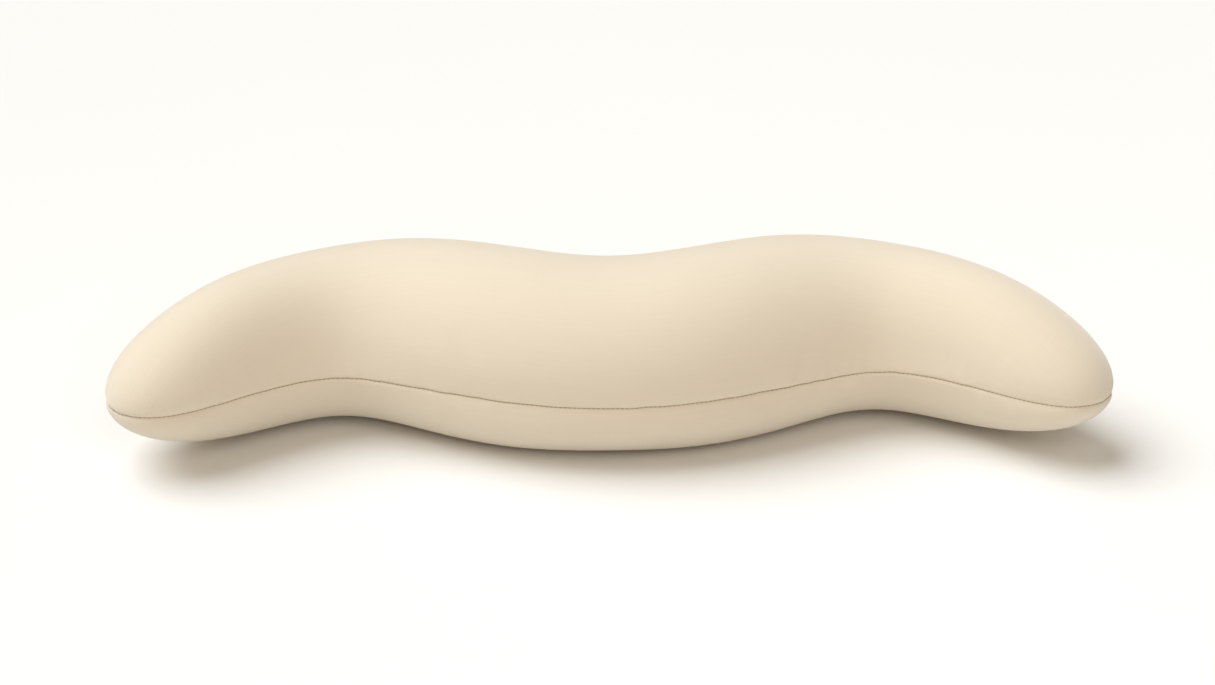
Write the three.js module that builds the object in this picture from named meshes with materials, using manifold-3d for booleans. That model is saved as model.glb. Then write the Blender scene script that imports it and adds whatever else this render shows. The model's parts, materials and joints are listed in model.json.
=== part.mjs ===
// Lumbar support cushion: a long stuffed roll whose plan is a soft wave, with a knitted outer
// cover sewn from a top and a bottom panel, a zip in the back seam, an inner liner and a foam core.
// Millimetres. +X runs along the cushion, -Y is its front, +Z is up, and it rests on z = 0.
import * as THREE from "three";
import { mergeVertices } from "three/addons/utils/BufferGeometryUtils.js";
import Module from "manifold-3d";

const wasm = await Module();
wasm.setup();

// Whole cushion
const SPINE_HALF_LENGTH = 303.5; // from the middle to either tip, along X
const HALF_WIDTH = 60; // of the section, front to back
const TOP_HEIGHT = 66; // seam to crown
const BOTTOM_DEPTH = 52.5; // seam to underside, before it flattens
const SEAM_HEIGHT = 49; // seam above the face that it rests on
const TIP_POWER = 8; // higher is blunter

// Control values at equal steps from the middle to a tip; both arms are alike
const SPINE_Y = [-5, 2, 32, 32, -5, -56];
const WIDTH_SHAPE = [1.03, 0.98, 0.98, 0.78, 0.65, 0.88];
const HEIGHT_SHAPE = [0.98, 1.09, 1.01, 0.88, 0.97, 0.73];

// Fabric layers
const COVER_THICKNESS = 1.2;
const LINER_THICKNESS = 0.6;
const LAYER_GAP = 0.6; // between loosely lying layers
const CLEARANCE = 0.3; // between pieces of the zip, and round threads
const SEAM_GAP = 1.2; // between the two panels' edges, where the thread lies
const SEAM_ALLOWANCE = 7; // turned inwards behind the seam
const THREAD = 0.6;
const THREAD_INSET = 3.5;

// Zip in the back seam of the +X arm
const ZIP_MIDDLE_X = 158;
const ZIP_LENGTH = 184; // of its tapes
const SLOT_FADE = 10; // over which the slot closes above each end of the tapes
const HEM_FADE = 8; // over which the hem widens to the full allowance, past the tapes
const TAPE_WIDTH = 11;
const TAPE_THICKNESS = 0.5;
const TAPE_INSET = 4.3; // below the seam's outline
const TAPE_SPLIT = 3.2; // between the two tapes' facing edges
const COIL_WIDTH = 4.8; // both rows, closed
const COIL_THICKNESS = 1.8;
const STOP_LENGTH = 2;
const TAPE_END = 12; // bare tape past each stop

// Slider and its pull tab
const SLIDER_LENGTH = 10;
const SLIDER_WIDTH = 8.4;
const SLOT_MARGIN = 0.8; // from the slider to either panel's edge
const ZIP_SLOT = SLIDER_WIDTH + 2 * SLOT_MARGIN;
const SLIDER_PLATE = 1.2;
const SLIDER_RIM = 0.8;
const DIAMOND_WIDTH = 2.4;
const DIAMOND_LENGTH = 3.5;
const PIN_RADIUS = 0.5;
const PIN_RISE = 2.3; // pin's axis above the slider's face
const EAR_THICKNESS = 0.8;
const EAR_GAP = 3.8;
const EYE_RADIUS = 1.3;
const EYE_BORE = 0.8;
const TAB_LENGTH = 22;
const TAB_WIDTH = 5.6;
const TAB_THICKNESS = 1;

// Care label in the middle of the back seam
const LABEL_WIDTH = 24;
const LABEL_LENGTH = 20;
const LABEL_THICKNESS = 0.6;
const LABEL_ROOT = 2;

// Facets
const ARC_STEPS = 10; // over half a section
const LONG_STEPS = 30; // tip to zip
const SHORT_STEPS = 8; // zip to the nearer tip
const ZIP_STEPS = 12;

// Uniform cubic B-spline of control values over |s| from 0 to 1, mirrored at the middle.
function spline(values, s) {
  const last = values.length - 1;
  const control = (i) => {
    if (i < 0) return values[-i];
    return i > last ? 2 * values[last] - values[last - 1] : values[i];
  };
  const t = Math.abs(s) * last;
  const i = Math.min(Math.floor(t), last - 1);
  const u = t - i;
  const before = (1 - u) ** 3 * control(i - 1);
  const here = (3 * u ** 3 - 6 * u ** 2 + 4) * control(i);
  const next = (-3 * u ** 3 + 3 * u ** 2 + 3 * u + 1) * control(i + 1);
  const after = u ** 3 * control(i + 2);
  return (before + here + next + after) / 6;
}

// A layer of the cushion lies inside its outline: "inset" at the seam and the tips, "crown" at the
// top and the underside, and "base" is how far its edge stands off the seam's plane.
const coverOuter = { inset: 0, crown: 0, base: SEAM_GAP / 2 };
const coverInner = {
  inset: COVER_THICKNESS,
  crown: COVER_THICKNESS,
  base: SEAM_GAP / 2 + COVER_THICKNESS,
};
const linerOuter = {
  inset: SEAM_ALLOWANCE + LAYER_GAP,
  crown: coverInner.crown + LAYER_GAP,
  base: SEAM_GAP / 2,
};
const linerInner = {
  inset: linerOuter.inset + LINER_THICKNESS,
  crown: linerOuter.crown + LINER_THICKNESS,
  base: SEAM_GAP / 2 + LINER_THICKNESS,
};
const coreSurface = {
  inset: linerInner.inset + LAYER_GAP,
  crown: linerInner.crown + LAYER_GAP,
  base: 0,
};

// How full the section is at a station: 1 along the arms, falling to 0 at the tips.
const fullness = (s) => Math.sqrt(Math.max(0, 1 - Math.abs(s) ** TIP_POWER));

// Plan position of a layer at spine station s and angle v round the section, 0 at the front seam
// and PI at the back seam. The inset draws a layer's tips in without moving its middle.
function freePoint(s, v, inset) {
  const step = 1e-4;
  const slope = spline(SPINE_Y, s + step) - spline(SPINE_Y, s - step);
  const across = new THREE.Vector2(-slope, 2 * step * SPINE_HALF_LENGTH).normalize();
  const side = -Math.cos(v) * (HALF_WIDTH * spline(WIDTH_SHAPE, s) - inset) * fullness(s);
  const along = (SPINE_HALF_LENGTH - inset * Math.abs(s) ** TIP_POWER) * s;
  return across.multiplyScalar(side).add(new THREE.Vector2(along, spline(SPINE_Y, s)));
}

// The zip's stretch of the back seam: its stations, and the arc that fits it.
const seamBack = (s) => freePoint(s, Math.PI, 0);

function stationAtX(x) {
  let low = 0;
  let high = 1;
  for (let i = 0; i < 40; i++) {
    const middle = (low + high) / 2;
    if (seamBack(middle).x < x) low = middle;
    else high = middle;
  }
  return low;
}

function stationAlong(from, distance) {
  const step = Math.sign(distance) * 5e-4;
  let s = from;
  let left = Math.abs(distance);
  while (left > 0) {
    left -= seamBack(s).distanceTo(seamBack(s + step));
    s += step;
  }
  return s;
}

// Stations of the hem's, the tapes' and the slot's ends, by distance along the tapes.
const zipMiddle = stationAtX(ZIP_MIDDLE_X);
const zipStation = (along) => stationAlong(zipMiddle, along - ZIP_LENGTH / 2);
const hemStart = zipStation(-HEM_FADE);
const tapeStart = zipStation(0);
const slotStart = zipStation(SLOT_FADE);
const slotEnd = zipStation(ZIP_LENGTH - SLOT_FADE);
const tapeEnd = zipStation(ZIP_LENGTH);
const hemEnd = zipStation(ZIP_LENGTH + HEM_FADE);

function arcThrough(a, b, c) {
  const ab = b.clone().sub(a);
  const ac = c.clone().sub(a);
  const cross = 2 * ab.cross(ac);
  const x = (ac.y * ab.lengthSq() - ab.y * ac.lengthSq()) / cross;
  const y = (ab.x * ac.lengthSq() - ac.x * ab.lengthSq()) / cross;
  const centre = new THREE.Vector2(x, y);
  return { radius: centre.length(), centre: centre.add(a) };
}

const zipArc = arcThrough(seamBack(tapeStart), seamBack(zipMiddle), seamBack(tapeEnd));
const zipStartAngle = seamBack(tapeStart).sub(zipArc.centre).angle();

// From 0 to 1: how far the slot is open at a station, and how far the allowance is cut to a hem.
const rise = THREE.MathUtils.smoothstep;
const slotAt = (s) => rise(s, tapeStart, slotStart) * (1 - rise(s, slotEnd, tapeEnd));
const hemAt = (s) => rise(s, hemStart, tapeStart) * (1 - rise(s, tapeEnd, hemEnd));

// The panels are cut so that the seam's stretch with the zip in it lies on the zip's arc: the whole
// back of each layer moves out or in with it.
function planPoint(s, v, inset) {
  const seam = seamBack(s).sub(zipArc.centre);
  const miss = (zipArc.radius - seam.length()) * hemAt(s) * Math.max(0, -Math.cos(v));
  return freePoint(s, v, inset).add(seam.normalize().multiplyScalar(miss));
}

const fullHeight = (s, upper) => (upper ? TOP_HEIGHT : BOTTOM_DEPTH) * spline(HEIGHT_SHAPE, s);

// Height of a layer above the seam's plane on the upper side, and below it on the lower side,
// where the underside is pressed flat by what it rests on.
function layerHeight(s, v, layer, upper) {
  const full = fullHeight(s, upper);
  const swell = fullness(s) * Math.sin(v);
  const height = layer.base + (SEAM_GAP / 2 + full - layer.crown - layer.base) * swell;
  const pressed = Math.max(0, SEAM_GAP / 2 + full * swell - SEAM_HEIGHT);
  return upper ? height : pressed - height;
}

function surfacePoint(s, v, layer, upper) {
  const plan = planPoint(s, v, layer.inset);
  return new THREE.Vector3(plan.x, plan.y, layerHeight(s, v, layer, upper));
}

const evenly = (from, to, count) =>
  Array.from({ length: count + 1 }, (_, i) => THREE.MathUtils.lerp(from, to, i / count));

const stations = [
  ...evenly(-Math.PI / 2, Math.asin(hemStart), LONG_STEPS).map(Math.sin),
  ...evenly(hemStart, tapeStart, 2).slice(1),
  ...evenly(tapeStart, slotStart, 3).slice(1),
  ...evenly(slotStart, slotEnd, ZIP_STEPS).slice(1),
  ...evenly(slotEnd, tapeEnd, 3).slice(1),
  ...evenly(tapeEnd, hemEnd, 2).slice(1),
  ...evenly(Math.asin(hemEnd), Math.PI / 2, SHORT_STEPS).map(Math.sin).slice(1),
];

// A closed solid from rings of points. Rings may shrink to a line or a point at the ends. From the
// point "back" on, a ring runs back over its own section, and its quads are split the other way
// round, so that the faces of nested layers stay parallel.
function loft(rings, { ends = false, loop = false, back = Infinity } = {}) {
  const count = rings[0].length;
  const index = [];
  for (let i = 0; i < rings.length - (loop ? 0 : 1); i++)
    for (let j = 0; j < count; j++) {
      const near = [j, (j + 1) % count].map((k) => i * count + k);
      const far = [j, (j + 1) % count].map((k) => ((i + 1) % rings.length) * count + k);
      if (j < back) index.push(near[0], far[0], far[1], near[0], far[1], near[1]);
      else index.push(near[0], far[0], near[1], near[1], far[0], far[1]);
    }
  if (ends)
    for (let j = 1; j < count - 1; j++) {
      const last = (rings.length - 1) * count;
      index.push(0, j, j + 1, last, last + j + 1, last + j);
    }
  return closedGeometry(rings.flat(), index);
}

// Merges the points that meet, drops the faces that vanish, and turns the faces outwards.
function closedGeometry(points, index) {
  const raw = new THREE.BufferGeometry().setFromPoints(points).setIndex(index);
  const merged = mergeVertices(raw, 1e-3);
  const place = merged.getAttribute("position");
  const corner = (i) => new THREE.Vector3().fromBufferAttribute(place, i);
  const kept = [];
  let volume = 0;
  for (let i = 0; i < merged.index.count; i += 3) {
    const [a, b, c] = [0, 1, 2].map((k) => merged.index.getX(i + k));
    if (a === b || b === c || c === a) continue;
    kept.push(a, b, c);
    volume += corner(a).dot(corner(b).cross(corner(c)));
  }
  if (volume < 0) kept.reverse();
  return merged.setIndex(kept);
}

// One cover panel: its outer and inner faces, and the allowance turned in along both edges. At the
// zip the allowance shrinks to a hem and the edge stands back from the seam's plane.
function coverPanel(upper) {
  const up = upper ? 1 : -1;
  const rings = stations.map((s) => {
    const lift = slotAt(s) * (ZIP_SLOT - SEAM_GAP) / 2;
    const swell = lift > 0 ? lift / (fullHeight(s, upper) * fullness(s)) : 0;
    const backAngle = Math.PI - Math.asin(swell);
    const hem = THREE.MathUtils.lerp(SEAM_ALLOWANCE, 2 * COVER_THICKNESS, hemAt(s));
    const angles = [...evenly(0, Math.PI, ARC_STEPS).slice(0, -1), backAngle];
    const outside = angles.map((v) => surfacePoint(s, v, coverOuter, upper));
    const inside = angles.map((v) => surfacePoint(s, v, coverInner, upper));
    const turnedIn = (v, inset, edge) => {
      const plan = planPoint(s, v, inset);
      const low = up * (coverOuter.base + edge);
      const high = up * (coverInner.base + edge);
      return [low, high].map((z) => new THREE.Vector3(plan.x, plan.y, z));
    };
    const front = turnedIn(0, SEAM_ALLOWANCE, 0);
    const back = turnedIn(backAngle, hem, lift);
    return [...outside, ...back, ...inside.reverse(), ...front.reverse()];
  });
  return loft(rings, { back: ARC_STEPS + 3 });
}

function linerPanel(upper) {
  const angles = evenly(0, Math.PI, ARC_STEPS);
  const rings = stations.map((s) => [
    ...angles.map((v) => surfacePoint(s, v, linerOuter, upper)),
    ...angles.map((v) => surfacePoint(s, v, linerInner, upper)).reverse(),
  ]);
  return loft(rings, { back: ARC_STEPS + 1 });
}

function foamCore() {
  const angles = evenly(0, Math.PI, ARC_STEPS);
  const rings = stations.map((s) => [
    ...angles.map((v) => surfacePoint(s, v, coreSurface, true)),
    ...angles.map((v) => surfacePoint(s, v, coreSurface, false)).reverse(),
  ]);
  return loft(rings, { back: ARC_STEPS + 1 });
}

// Sewing thread along the seam, as one square strand at the given inset. The cover's strand stops
// at each end of the zip's slot; the liner's goes all the way round.
function seamThread(inset, round) {
  const strand = (s, v) => {
    const [near, far] = [inset, inset + THREAD].map((d) => planPoint(s, v, d));
    return [
      new THREE.Vector3(near.x, near.y, -THREAD / 2),
      new THREE.Vector3(near.x, near.y, THREAD / 2),
      new THREE.Vector3(far.x, far.y, THREAD / 2),
      new THREE.Vector3(far.x, far.y, -THREAD / 2),
    ];
  };
  const back = round ? stations : stations.filter((s) => s >= hemEnd);
  const rest = round ? [] : stations.filter((s) => s <= hemStart);
  const rings = [
    ...back.map((s) => strand(s, Math.PI)),
    ...stations.slice(1, -1).reverse().map((s) => strand(s, 0)),
    ...rest.map((s) => strand(s, Math.PI)),
  ];
  return loft(rings, round ? { loop: true } : { ends: true });
}

// A straight-sided bar along the zip's arc, about the arc's centre. "from" and "to" are distances
// along it; "inset" and "z" each hold a low and a high value.
function zipBar(from, to, inset, z) {
  const rings = evenly(from, to, 2 * ZIP_STEPS).map((along) => {
    const angle = zipStartAngle - along / zipArc.radius;
    const corner = (depth, height) => {
      const radius = zipArc.radius - depth;
      return new THREE.Vector3(radius * Math.cos(angle), radius * Math.sin(angle), height);
    };
    return [
      corner(inset[0], z[0]),
      corner(inset[0], z[1]),
      corner(inset[1], z[1]),
      corner(inset[1], z[0]),
    ];
  });
  return loft(rings, { ends: true });
}

// Solid joined from overlapping three.js geometries.
function solidOf(geometry) {
  const bare = geometry.clone();
  bare.deleteAttribute("normal");
  bare.deleteAttribute("uv");
  const merged = mergeVertices(bare.index ? bare.toNonIndexed() : bare, 1e-4);
  const vertProperties = merged.getAttribute("position").array;
  const triVerts = new Uint32Array(merged.index.array);
  return new wasm.Manifold(new wasm.Mesh({ numProp: 3, vertProperties, triVerts }));
}

function geometryOf(solid) {
  const mesh = solid.getMesh();
  const position = new THREE.BufferAttribute(mesh.vertProperties, mesh.numProp);
  return new THREE.BufferGeometry()
    .setAttribute("position", position)
    .setIndex(new THREE.BufferAttribute(mesh.triVerts, 1));
}

const joined = (geometries) =>
  geometryOf(geometries.map(solidOf).reduce((whole, piece) => whole.add(piece)));

function block(x, y, z) {
  const size = [x, y, z].map(([low, high]) => high - low);
  const middle = [x, y, z].map(([low, high]) => (low + high) / 2);
  return new THREE.BoxGeometry(...size).translate(...middle);
}

// The slider in its own frame: +X along the zip towards its closed end, +Y out of the cushion, with
// y = 0 on the seam's outline, and z = 0 on the seam's plane.
const coilInset = [TAPE_INSET - CLEARANCE - COIL_THICKNESS, TAPE_INSET - CLEARANCE];
const sliderFace = SLIDER_PLATE + CLEARANCE - coilInset[0];
const pinY = sliderFace + PIN_RISE;

function zipSlider() {
  const half = SLIDER_LENGTH / 2;
  const side = SLIDER_WIDTH / 2;
  const lengthways = [-half, half];
  const outerPlate = [sliderFace - SLIDER_PLATE, sliderFace];
  const innerTop = -TAPE_INSET - TAPE_THICKNESS - CLEARANCE;
  const innerPlate = [innerTop - SLIDER_PLATE, innerTop];
  const rimDepth = [CLEARANCE - TAPE_INSET, sliderFace];
  const diamond = [half - DIAMOND_LENGTH, half];
  const diamondBand = [-DIAMOND_WIDTH / 2, DIAMOND_WIDTH / 2];
  const earHeight = [sliderFace - SLIDER_PLATE / 2, pinY + 2 * PIN_RADIUS];
  const ears = [-1, 1].map((way) => {
    const z = [way * EAR_GAP / 2, way * (EAR_GAP / 2 + EAR_THICKNESS)].sort((a, b) => a - b);
    return block([-3 * PIN_RADIUS, 3 * PIN_RADIUS], earHeight, z);
  });
  const rims = [
    block(lengthways, rimDepth, [-side, SLIDER_RIM - side]),
    block(lengthways, rimDepth, [side - SLIDER_RIM, side]),
  ];
  const pin = new THREE.CylinderGeometry(PIN_RADIUS, PIN_RADIUS, EAR_GAP + EAR_THICKNESS, 12);
  return joined([
    block(lengthways, outerPlate, [-side, side]),
    block(lengthways, innerPlate, [-side, side]),
    block(diamond, [innerTop - SLIDER_PLATE / 2, sliderFace], diamondBand),
    ...rims,
    ...ears,
    pin.rotateX(Math.PI / 2).translate(0, pinY, 0),
  ]);
}

// The pull tab about its pin: an eye between the ears, and a plate that lies back over the coil.
function zipPullTab() {
  const profile = new THREE.Shape();
  const lean = Math.asin(TAB_THICKNESS / 2 / EYE_RADIUS);
  const wide = 2 * EYE_RADIUS;
  profile.absarc(0, 0, EYE_RADIUS, Math.PI + lean, 3 * Math.PI - lean);
  profile.lineTo(-wide - 1, TAB_THICKNESS / 2);
  profile.lineTo(-wide - 1, -TAB_THICKNESS / 2);
  profile.closePath();
  profile.holes.push(new THREE.Path().absarc(0, 0, EYE_BORE, 0, 2 * Math.PI, true));
  const eyeWidth = EAR_GAP - 2 * CLEARANCE;
  const eye = new THREE.ExtrudeGeometry(profile, {
    depth: eyeWidth,
    bevelEnabled: false,
    curveSegments: 8,
  });
  const outline = new THREE.Shape();
  const half = TAB_WIDTH / 2;
  outline.moveTo(-wide, half);
  outline.lineTo(-TAB_LENGTH + half, half);
  outline.absarc(-TAB_LENGTH + half, 0, half, Math.PI / 2, 1.5 * Math.PI);
  outline.lineTo(-wide, -half);
  outline.closePath();
  const plate = new THREE.ExtrudeGeometry(outline, {
    depth: TAB_THICKNESS,
    bevelEnabled: false,
    curveSegments: 8,
  });
  plate.translate(0, 0, -TAB_THICKNESS / 2).rotateX(-Math.PI / 2);
  return joined([eye.translate(0, 0, -eyeWidth / 2), plate]);
}

function careLabel() {
  const root = seamBack(0);
  const half = LABEL_WIDTH / 2;
  const reach = [root.y - LABEL_ROOT, root.y + LABEL_LENGTH];
  return block([-half, half], reach, [-LABEL_THICKNESS / 2, LABEL_THICKNESS / 2]);
}

// Materials
const knit = { color: 0xe9dcc3, roughness: 0.95, metalness: 0 };
const threadFinish = { color: 0xd9c7a4, roughness: 0.9, metalness: 0 };
const tapeFinish = { color: 0xe2d5bb, roughness: 0.9, metalness: 0 };
const nylon = { color: 0xe6dcc6, roughness: 0.45, metalness: 0 };
const lacquered = { color: 0xd8ccb4, roughness: 0.35, metalness: 0.6 };
const satin = { color: 0xf4f2ec, roughness: 0.5, metalness: 0 };
const lining = { color: 0xf6f4ee, roughness: 0.9, metalness: 0 };
const foam = { color: 0xf1ead2, roughness: 1, metalness: 0 };

function part(name, geometry, finish) {
  geometry.computeVertexNormals();
  const mesh = new THREE.Mesh(geometry, new THREE.MeshStandardMaterial(finish));
  mesh.name = name;
  return mesh;
}

// Assembly about the seam's plane, then stood on its underside and centred front to back.
const cushion = new THREE.Group();
cushion.add(
  part("cover_top_panel", coverPanel(true), knit),
  part("cover_bottom_panel", coverPanel(false), knit),
  part("cover_seam_thread", seamThread(THREAD_INSET, false), threadFinish),
  part("care_label", careLabel(), satin),
  part("liner_top_panel", linerPanel(true), lining),
  part("liner_bottom_panel", linerPanel(false), lining),
  part("liner_seam_thread", seamThread(linerOuter.inset, true), threadFinish),
  part("foam_core", foamCore(), foam),
);

// Zip: everything is laid out along its arc, about the arc's centre.
const zip = new THREE.Group();
zip.position.set(zipArc.centre.x, zipArc.centre.y, 0);
const tapeInset = [TAPE_INSET, TAPE_INSET + TAPE_THICKNESS];
const coilStart = TAPE_END + STOP_LENGTH + CLEARANCE;
const topStop = ZIP_LENGTH - TAPE_END - STOP_LENGTH;
const sliderMiddle = topStop - CLEARANCE - SLIDER_LENGTH / 2;
const coilEnd = sliderMiddle + SLIDER_LENGTH / 2 - DIAMOND_LENGTH - CLEARANCE;
for (const [side, way] of [["upper", 1], ["lower", -1]]) {
  const band = (low, high) => [way * low, way * high].sort((a, b) => a - b);
  const tapeBand = band(TAPE_SPLIT / 2, TAPE_SPLIT / 2 + TAPE_WIDTH);
  const coilBand = band(CLEARANCE / 2, COIL_WIDTH / 2);
  const stopBand = band(TAPE_SPLIT / 2, COIL_WIDTH / 2 + 1);
  zip.add(
    part(`zip_tape_${side}`, zipBar(0, ZIP_LENGTH, tapeInset, tapeBand), tapeFinish),
    part(`zip_coil_${side}`, zipBar(coilStart, coilEnd, coilInset, coilBand), nylon),
    part(
      `zip_top_stop_${side}`,
      zipBar(topStop, topStop + STOP_LENGTH, coilInset, stopBand),
      lacquered,
    ),
  );
}
const bottomBand = [-COIL_WIDTH / 2, COIL_WIDTH / 2];
zip.add(
  part(
    "zip_bottom_stop",
    zipBar(TAPE_END, TAPE_END + STOP_LENGTH, coilInset, bottomBand),
    lacquered,
  ),
);

const slider = part("zip_slider", zipSlider(), lacquered);
const pullTab = part("zip_pull_tab", zipPullTab(), lacquered);
const sliderAngle = zipStartAngle - sliderMiddle / zipArc.radius;
const carriage = new THREE.Group();
carriage.position.set(
  zipArc.radius * Math.cos(sliderAngle),
  zipArc.radius * Math.sin(sliderAngle),
  0,
);
carriage.rotation.z = sliderAngle - Math.PI / 2;
pullTab.position.set(0, pinY, 0);
carriage.add(slider, pullTab);
zip.add(carriage);
cushion.add(zip);

const extent = new THREE.Box3().setFromObject(cushion);
const middle = extent.getCenter(new THREE.Vector3());
cushion.position.set(-middle.x, -middle.y, SEAM_HEIGHT);

export default cushion;
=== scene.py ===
import json
import math

import bmesh
import bpy
import numpy as np
from mathutils import Matrix, Vector


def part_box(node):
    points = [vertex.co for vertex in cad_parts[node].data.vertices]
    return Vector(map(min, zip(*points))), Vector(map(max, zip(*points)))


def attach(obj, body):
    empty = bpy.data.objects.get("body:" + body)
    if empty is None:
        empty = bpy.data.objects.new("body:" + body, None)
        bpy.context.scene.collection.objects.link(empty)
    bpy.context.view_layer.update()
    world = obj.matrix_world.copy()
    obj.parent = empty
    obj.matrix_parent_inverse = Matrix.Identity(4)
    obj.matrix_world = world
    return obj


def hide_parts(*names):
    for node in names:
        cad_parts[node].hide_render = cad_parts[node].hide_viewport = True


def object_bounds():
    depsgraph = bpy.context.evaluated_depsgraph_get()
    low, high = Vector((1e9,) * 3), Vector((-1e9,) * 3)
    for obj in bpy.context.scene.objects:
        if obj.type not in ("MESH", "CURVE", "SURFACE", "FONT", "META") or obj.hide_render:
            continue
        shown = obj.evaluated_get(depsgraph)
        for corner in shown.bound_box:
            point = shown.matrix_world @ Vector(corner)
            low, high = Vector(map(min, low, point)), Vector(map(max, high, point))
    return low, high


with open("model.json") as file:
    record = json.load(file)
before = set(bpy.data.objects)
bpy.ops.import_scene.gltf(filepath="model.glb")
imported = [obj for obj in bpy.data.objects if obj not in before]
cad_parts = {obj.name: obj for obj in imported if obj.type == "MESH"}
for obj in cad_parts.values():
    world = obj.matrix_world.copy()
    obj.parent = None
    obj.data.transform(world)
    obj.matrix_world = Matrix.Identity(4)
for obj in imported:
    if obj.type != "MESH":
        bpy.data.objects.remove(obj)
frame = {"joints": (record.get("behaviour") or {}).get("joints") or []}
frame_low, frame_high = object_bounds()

# Cover, top and bottom panels. Two pieces of fine stretch knit, cut to the same wavy outline and
# sewn together round the waist of the roll with their allowances turned in. The filling holds them
# taut, the seam draws them in, and the underside is flat where the cushion rests.
SPINE_HALF_LENGTH = 0.3035
HALF_WIDTH = 0.060
TOP_HEIGHT = 0.066
BOTTOM_DEPTH = 0.0525
TIP_POWER = 8
SPINE_Y = (-0.005, 0.002, 0.032, 0.032, -0.005, -0.056)
WIDTH_SHAPE = (1.03, 0.98, 0.98, 0.78, 0.65, 0.88)
HEIGHT_SHAPE = (0.98, 1.09, 1.01, 0.88, 0.97, 0.73)
PANEL_GAP = 0.0006  # half of what the frame leaves between the panels
SEWN_EDGE = 0.00025  # each panel's edge off the seam's plane
KNIT_THICKNESS = 0.0012
ALLOWANCE = 0.007
SEAM_TUCK = 0.0008  # sharp groove along the seam
SEAM_TUCK_REACH = 0.0011
SEAM_DIP = 0.0005  # wide dip of the taut cloth towards it
SEAM_DIP_REACH = 0.006
FOLD_RADIUS = 0.0011  # of the hemmed edge beside the zip
PRESS_SOFTNESS = 0.003
# Puckers along the seam: each is a wave's length, size and phase. They come and go in patches.
PUCKERS = ((0.0135, 0.00016, 0.4), (0.0190, 0.00020, 2.1), (0.0290, 0.00024, 4.0))
PUCKER_PATCH = 0.17
PUCKER_LEAST = 0.35  # share of their size between the patches
PUCKER_REACH = 0.009
TIP_TUCK = 0.5  # share of the groove's depth at the very tips
STEPS_ALONG = 400
ROWS_OUTSIDE = 84
ROWS_INSIDE = 30
FINE_STEPS = 4001  # for measuring along the outline

ZIP_MIDDLE_X = 0.158
ZIP_LENGTH = 0.184
ZIP_SLOT = 0.010
SLOT_FADE = 0.010
HEM_FADE = 0.008
HEM = 0.0024
PIN_RISE = 0.0016  # of the pull tab's pin above the seam's outline
SLIDER_PLACE = 0.1647  # along the tapes, from their inner end

joints = {joint["name"]: joint for joint in frame["joints"]}
travel, swing = joints["zip_travel"], joints["pull_swing"]
top_low, top_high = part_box("cover_top_panel")
seam_z = (top_low.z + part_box("cover_bottom_panel")[1].z) / 2
seam_height = seam_z - frame_low.z
zip_centre = Vector(travel["pos_m"][:2])
slider_out = Vector(swing["pos_m"][:2]) - zip_centre
zip_radius = slider_out.length - PIN_RISE
slider_angle = math.atan2(slider_out.y, slider_out.x)


def eased(values, s):
    """Cubic B-spline of values over |s| from 0 to 1, mirrored at the middle."""
    last = len(values) - 1
    control = np.array([values[1], *values, 2 * values[-1] - values[-2]])
    t = np.abs(s) * last
    i = np.minimum(np.floor(t).astype(int), last - 1)
    u = t - i
    before = (1 - u) ** 3 * control[i]
    here = (3 * u ** 3 - 6 * u ** 2 + 4) * control[i + 1]
    after = (-3 * u ** 3 + 3 * u ** 2 + 3 * u + 1) * control[i + 2]
    return (before + here + after + u ** 3 * control[i + 3]) / 6


def stations(count):
    """Spine stations from tip to tip, closer together towards both."""
    return np.sin(np.linspace(-np.pi / 2, np.pi / 2, count + 1))[:, None]


def gathered(*parts):
    """Points of arrays of their coordinates."""
    return np.stack(np.broadcast_arrays(*parts), -1)


def fullness(s):
    """Share of the full section at a station: whole along the roll, round at the tips."""
    return np.sqrt(np.maximum(0, 1 - np.abs(s) ** TIP_POWER))


def wave_plan(s, v, inset):
    """x and y of the outline at spine station s, and angle v round the section from the front seam."""
    step = 1e-4
    slope = eased(SPINE_Y, s + step) - eased(SPINE_Y, s - step)
    run = 2 * step * SPINE_HALF_LENGTH
    side = -np.cos(v) * (HALF_WIDTH * eased(WIDTH_SHAPE, s) - inset) * fullness(s)
    side = side / np.hypot(slope, run)
    along = (SPINE_HALF_LENGTH - inset * np.abs(s) ** TIP_POWER) * s
    return along - slope * side, eased(SPINE_Y, s) + run * side


spine_shift = top_low.y - wave_plan(np.linspace(-1, 1, FINE_STEPS), 0, 0)[1].min()


def free_plan(s, v, inset):
    """The outline in the cushion's own frame, before the zip's stretch is laid on its arc."""
    x, y = wave_plan(s, v, inset)
    return x, y + spine_shift


# Stations of the zip's parts, by distance along the back seam
walk = np.linspace(0, 0.97, FINE_STEPS)
walk_x, walk_y = free_plan(walk, np.pi, 0)
walked = np.concatenate([[0], np.cumsum(np.hypot(np.diff(walk_x), np.diff(walk_y)))])
zip_start = np.interp(ZIP_MIDDLE_X, walk_x, walked) - ZIP_LENGTH / 2


def zip_station(along):
    """The spine station at a distance along the zip's tapes."""
    return float(np.interp(zip_start + along, walked, walk))


def rise(s, low, high):
    """A smooth step from 0 at low to 1 at high."""
    t = np.clip((s - low) / (high - low), 0, 1)
    return t * t * (3 - 2 * t)


def slot_open(s):
    """How far the slot over the zip is open, from 0 to 1."""
    opens = rise(s, zip_station(0), zip_station(SLOT_FADE))
    return opens * (1 - rise(s, zip_station(ZIP_LENGTH - SLOT_FADE), zip_station(ZIP_LENGTH)))


def hemmed(s):
    """Where the panels' edges are hemmed along the zip instead of sewn together."""
    starts = rise(s, zip_station(-HEM_FADE), zip_station(0))
    return starts * (1 - rise(s, zip_station(ZIP_LENGTH), zip_station(ZIP_LENGTH + HEM_FADE)))


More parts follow.
